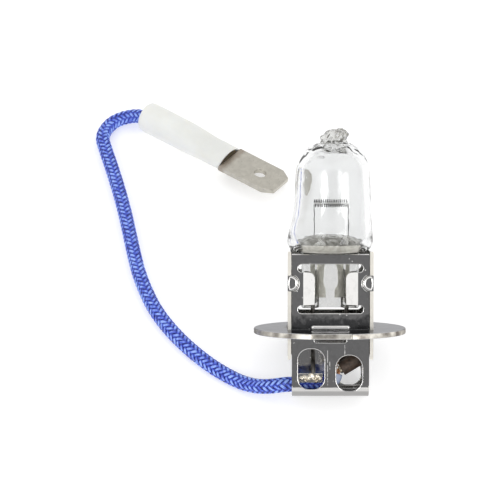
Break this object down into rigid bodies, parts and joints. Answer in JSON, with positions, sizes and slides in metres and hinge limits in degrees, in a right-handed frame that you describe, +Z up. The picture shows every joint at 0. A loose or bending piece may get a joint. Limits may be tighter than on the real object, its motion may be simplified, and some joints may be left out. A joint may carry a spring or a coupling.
{
  "type": "headlight bulb",
  "caption": "Halogen headlight bulb with a round flange, a clinched sheet-metal holder, a quartz capsule, and a braided lead that ends in a booted blade terminal.",
  "frame": {"origin": "centre of the flange's seating face (the glass side), on the bulb's own axis", "axes": "+Z up from the surface that the bulb lies on, +X to the bulb's right as its windows are faced, +Y level, away from its front; the bulb's axis leans back from +Z towards +Y and stands 42.8 degrees above the surface"},
  "size_m": [0.047, 0.0579, 0.029],
  "materials": {
    "quartz_glass": "clear polished",
    "tungsten": "drawn wire",
    "molybdenum_foil": "dull",
    "pin_metal": "oxidised",
    "splice_tube": "matte",
    "ferrule_brass": "satin",
    "holder_nickel": "bright nickel plate",
    "flange_nickel": "bright nickel plate",
    "braid_blue": "woven glass yarn",
    "wire_insulation": "matte",
    "copper_strands": "bare",
    "blade_metal": "satin tinned",
    "sleeve_white": "soft matte"
  },
  "bodies": {
    "root": {"glass_capsule": "quartz_glass", "filament": "tungsten", "foil_left": "molybdenum_foil", "foil_right": "molybdenum_foil", "pin_ground": "pin_metal", "pin_live": "pin_metal", "splice_insulator": "splice_tube", "splice_ferrule": "ferrule_brass", "front_shell": "holder_nickel", "rear_shell": "holder_nickel", "flange": "flange_nickel", "lead_braid": "braid_blue", "lead_insulation": "wire_insulation", "lead_conductor": "copper_strands", "terminal_blade": "blade_metal", "terminal_sleeve": "sleeve_white"}
  },
  "joints": []
}
